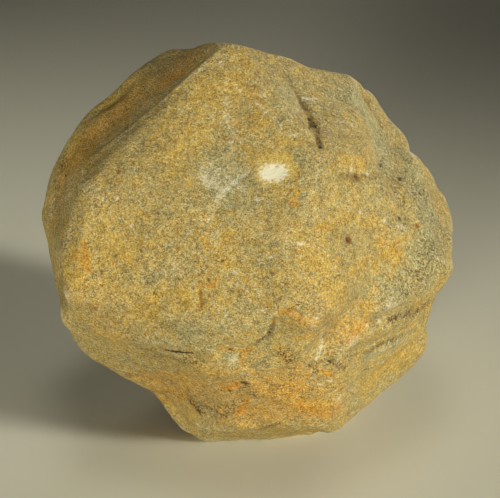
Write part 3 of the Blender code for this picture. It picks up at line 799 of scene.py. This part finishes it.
def stone_material():
    """Grains of several colours, with the marks, painted shade in the hollows and a painted highlight on the
    edges laid over them, and a finely granular relief.
    """
    material = bpy.data.materials.new("weathered_pseudoleucite")
    material.use_nodes = True
    tree = material.node_tree
    shader = tree.nodes["Principled BSDF"]
    start = Shade(tree, None)
    metres = start.node("ShaderNodeTexCoord", output=3)
    place = start.node("ShaderNodeVectorMath", {"operation": "SCALE"}, {0: metres, "Scale": 1 / MM})

    def clouds(size, detail=2.0, rough=0.5, output=0):
        sockets = {"Vector": place, "Scale": 1 / size, "Detail": detail, "Roughness": rough}
        return start.node("ShaderNodeTexNoise", sockets=sockets, output=output)

    shift = start.node(
        "ShaderNodeVectorMath",
        {"operation": "MULTIPLY_ADD"},
        {0: clouds(0.45, 2.0, output=1), 1: (SHIFT, SHIFT, SHIFT), 2: place},
    )

    def grains(size, output):
        sockets = {"Vector": shift, "Scale": 1 / size}
        return start.node("ShaderNodeTexVoronoi", sockets=sockets, output=output)

    def chance(size, channel=0):
        return start.node("ShaderNodeSeparateColor", sockets={"Color": grains(size, 1)}, output=channel)

    def layer(name):
        return start.node("ShaderNodeAttribute", {"attribute_name": name}, output=2)

    def ramp(value, stops):
        return start.node("ShaderNodeValToRGB", {"stops": stops}, {"Fac": value})

    def scattered(share, size, channel=0):
        """Grains picked at random, as many as the share asks for."""
        return (chance(size, channel) + share - 1).over(0.0, 0.10)

    def beside(start_place, end_place):
        """How far the ragged surface lies from a straight line between two places."""
        line = end_place - start_place

        def vector(operation, sockets, output=0):
            return start.node("ShaderNodeVectorMath", {"operation": operation}, sockets, output)

        from_start = vector("SUBTRACT", {0: shift, 1: start_place + SHIFT / 2})
        along = vector("DOT_PRODUCT", {0: from_start, 1: line / np.dot(line, line)}, 1)
        along = start.node("ShaderNodeClamp", sockets={"Value": along})
        foot = vector("SCALE", {0: tuple(line), "Scale": along})
        return vector("DISTANCE", {0: from_start, 1: foot}, 1)

    fine = clouds(0.15, 2.0) - 0.5
    finest = clouds(0.085, 1.0) - 0.5
    ragged = clouds(0.8, 4.0, 0.65) - 0.5
    patchy = clouds(2.0, 4.0, 0.60) - 0.5
    broad = clouds(7.0, 2.0) - 0.5

    grain = chance(0.40) * 0.30 + chance(0.20) * 0.50 + fine * 1.5 + finest * 2.4 + patchy * 0.55 + 0.09

    # How yellow the grains are, from the grey ones to the ochre ones
    hue = (chance(0.20, 1) - 0.5) * 0.80 + (chance(0.36, 1) - 0.5) * 0.50 + (chance(0.9, 1) - 0.5) * 0.35
    hue = hue + ragged * 1.5 + patchy * 1.5 + broad * 1.1 + 0.50
    hue = hue + layer("yellow") * 0.75 - layer("grey_green") * 0.70
    tan_share = hue.over(-0.1, 0.55)
    ochre_share = hue.over(0.40, 1.15)
    colour = tan_share.blend(ramp(grain, GREY_GRAINS), ramp(grain, TAN_GRAINS))
    colour = ochre_share.blend(colour, ramp(grain, OCHRE_GRAINS))

    brown = (layer("brown") + ragged * 0.9 + (chance(0.22, 1) - 0.5) * 0.8).over(0.25, 1.2) * 0.75
    colour = brown.blend(colour, tone(*CLAY_AND_PAINTED_SHADE))

    rusty = layer("rust") + ragged * 1.1 + (chance(0.22, 2) - 0.5) * 0.7 + fine * 0.5
    colour = (rusty.over(0.10, 0.60) * 0.65).blend(colour, ramp(grain + 0.08, OCHRE_GRAINS))
    rust_grain = (clouds(0.5, 3.0) - 0.5) * 1.5 + chance(0.26) * 0.55 + fine * 0.6 + 0.26
    colour = (rusty.over(0.45, 1.05) * 0.85).blend(colour, ramp(rust_grain, RUST_GRAINS))

    # Warmer tint: painted warm shade on the front's shaded faces, random warmer patches elsewhere
    warm_and_shade_share = (layer("warm_and_shaded") + patchy * 0.8).over(0.0, 1.0)
    colour = warm_and_shade_share.blend(colour, tone(*WARM_AND_SHADE_TINT), "MULTIPLY")

    frayed = clouds(0.45, 3.0, 0.7) - 0.5
    frost = layer("frost")
    chalky = (frost * 0.85 + ragged * 1.6 + frayed * 1.8 + fine * 0.8 - 0.05).over(0.25, 1.25) * 0.8
    colour = chalky.blend(colour, tone(*CHALK_AND_PAINTED_HIGHLIGHT))
    flecks = scattered(frost * 0.24 + patchy * 0.06 + 0.016, 0.22, 1)
    colour = (flecks * 0.7).blend(colour, tone(*CHALK_AND_PAINTED_HIGHLIGHT))

    rim = (layer("patch_rim") + ragged * 0.8 + fine * 0.6).over(0.20, 0.80) * 0.85
    colour = rim.blend(colour, ramp(grain + 0.25, OCHRE_GRAINS))
    halo = (layer("white_patch") + frayed * 0.9 + ragged * 0.5).over(0.08, 0.50) * 0.7
    colour = halo.blend(colour, ramp(grain * 0.5 + 0.62, OCHRE_GRAINS))
    patch = (layer("white_patch") + frayed * 1.6 + ragged * 0.7 + fine * 0.5).over(0.36, 0.80)
    colour = (patch * 0.95).blend(colour, tone(*FELDSPAR))

    speckled = layer("dark_grains")
    dark_share = speckled * 0.30 + patchy * 0.10 + ragged * 0.10 + 0.035
    dark = (chance(0.20, 2) + dark_share + fine * 0.45 + finest * 0.3 - 1).over(-0.03, 0.12) * (1 - patch)
    dark_depth = (speckled * 0.40 + 0.45).over(0.0, 1.0)
    colour = (dark * dark_depth).blend(colour, ramp(chance(0.31, 2), DARK_MINERALS))

    hollow = layer("hollow")
    # Painted shade: the hollows are darkened towards clay brown by how far each lies below the smoothed
    # surface
    painted_hollow_shade = (hollow + ragged * 0.6 + fine * 0.4).over(0.15, 1.1) * 0.55
    colour = painted_hollow_shade.blend(colour, tone(*CLAY_AND_PAINTED_SHADE))
    # Paler where the surface stands out: wear on the rubbed edges and a painted highlight, with random pale
    # flecks from the noise
    worn_and_highlit_edges = (fine * 1.2 + ragged * 0.6 - hollow).over(0.40, 1.20) * 0.45
    colour = worn_and_highlit_edges.blend(colour, tone(*CHALK_AND_PAINTED_HIGHLIGHT))

    uneven = frayed * 1.0 + fine * 0.9
    colour = ((uneven - layer("white_spots")).over(-0.15, 0.35) * 0.75).blend(colour, tone(*CHALK_AND_PAINTED_HIGHLIGHT))
    colour = ((uneven * 0.7 - layer("red_spots")).over(-0.15, 0.25) * 0.85).blend(colour, tone(*RED_BROWN))
    black = (uneven - layer("black_spots")).over(-0.15, 0.25)
    for start_place, end_place in zip(crack_places[:-1], crack_places[1:]):
        inside_crack = (CRACK_WIDTH / 2 - beside(start_place, end_place)).over(-0.05, 0.05)
        black = black.math("MAXIMUM", black, inside_crack)
    colour = (black * 0.9).blend(colour, tone(*BLACK_BROWN))

    crumbs = grains(0.26, 0) * 0.5 + grains(0.5, 0) * 0.45
    relief = fine * 0.7 + finest * 0.35 + crumbs + ragged * 0.6 - dark * 0.5
    sockets = {"Strength": 1.0, "Distance": RELIEF_HEIGHT * MM, "Height": relief}
    bump = start.node("ShaderNodeBump", sockets=sockets)
    dull = DULLNESS + fine * 0.2

    tree.links.new(colour.socket, shader.inputs["Base Color"])
    tree.links.new(dull.socket, shader.inputs["Roughness"])
    tree.links.new(bump.socket, shader.inputs["Normal"])
    shader.inputs["Specular IOR Level"].default_value = SHINE
    return material


stone.data.materials.append(stone_material())
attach(stone, "root")
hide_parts("pseudoleucite_crystal")

# The table top.
# A plain pale sheet, level with the flat spot, for the stone to lie on.

FLOOR_SIDE = 3.0
FLOOR_COLOUR = (0.64, 0.62, 0.48)
FLOOR_DULLNESS = 0.9
FLOOR_SHINE = 0.2


def floor_sheet():
    """A level square of plain matt paper."""
    half = FLOOR_SIDE / 2
    mesh = bpy.data.meshes.new("floor")
    corners = [(-half, -half, 0), (half, -half, 0), (half, half, 0), (-half, half, 0)]
    mesh.from_pydata(corners, [], [(0, 1, 2, 3)])
    sheet = bpy.data.objects.new("floor", mesh)
    bpy.context.scene.collection.objects.link(sheet)
    paper = bpy.data.materials.new("pale_paper")
    paper.use_nodes = True
    shader = paper.node_tree.nodes["Principled BSDF"]
    shader.inputs["Base Color"].default_value = (*FLOOR_COLOUR, 1.0)
    shader.inputs["Roughness"].default_value = FLOOR_DULLNESS
    shader.inputs["Specular IOR Level"].default_value = FLOOR_SHINE
    mesh.materials.append(paper)
    return sheet


floor_sheet()

# The light and the camera.
# Soft boxes with grids, so that they light the stone and the sheet around it more than the far
# part of the sheet. The main one stands low, on the right of the camera.

# Each light: how far round to the right of the camera it stands and how high, both in degrees, how
# far off it is and how wide, both in metres, its watts, how far its beam spreads, in degrees, and
# where it points, in mm from the middle of the sight
LIGHTS = {
    "main_softbox": (68.0, 18.0, 0.60, 0.24, 0.158, 14.0, (10.0, -40.0, -10.0)),
    "front_fill": (-20.0, 5.0, 0.50, 0.24, 0.128, 20.0, (0.0, 0.0, 0.0)),
    "top_light": (0.0, 88.0, 0.50, 0.24, 0.023, 30.0, (0.0, -30.0, 0.0)),
    "back_fill": (150.0, 8.0, 0.50, 0.24, 0.055, 22.0, (0.0, 0.0, 0.0)),
}
LAMP_COLOUR = (1.0, 0.98, 0.91)
WORLD_GLOW = 0.01
LENS_MM = 186.1
SENSOR_MM = 36.0


def add_light(name, round_by, height, distance, width, watts, spread, aim):
    """A round soft box that points at a place near the middle of the stone."""
    turn, rise = math.radians(round_by), math.radians(height)
    away = Vector((math.sin(turn) * math.cos(rise), -math.cos(turn) * math.cos(rise), math.sin(rise)))
    lamp = bpy.data.lights.new(name, "AREA")
    lamp.shape = "DISK"
    lamp.size = width
    lamp.energy = watts
    lamp.color = LAMP_COLOUR
    lamp.spread = math.radians(spread)
    holder = bpy.data.objects.new(name, lamp)
    holder.location = Vector(SIGHT_MIDDLE + np.array(aim)) * MM + away * distance
    holder.rotation_euler = away.to_track_quat("Z", "Y").to_euler()
    bpy.context.scene.collection.objects.link(holder)


for name, facts in LIGHTS.items():
    add_light(name, *facts)

world = bpy.data.worlds.new("studio")
world.use_nodes = True
world.node_tree.nodes["Background"].inputs["Color"].default_value = (1.0, 1.0, 1.0, 1.0)
world.node_tree.nodes["Background"].inputs["Strength"].default_value = WORLD_GLOW
bpy.context.scene.world = world
bpy.context.scene.view_settings.view_transform = "Standard"

lens = bpy.data.cameras.new("camera")
lens.sensor_fit = "HORIZONTAL"
lens.sensor_width = SENSOR_MM
lens.lens = LENS_MM
lens.clip_start = 0.01
camera = bpy.data.objects.new("camera", lens)
camera.location = Vector(SIGHT_MIDDLE + SIGHT_DISTANCE * TOWARDS) * MM
camera.rotation_euler = (math.pi / 2 - SIGHT_ANGLE, 0.0, 0.0)
bpy.context.scene.collection.objects.link(camera)
bpy.context.scene.camera = camera
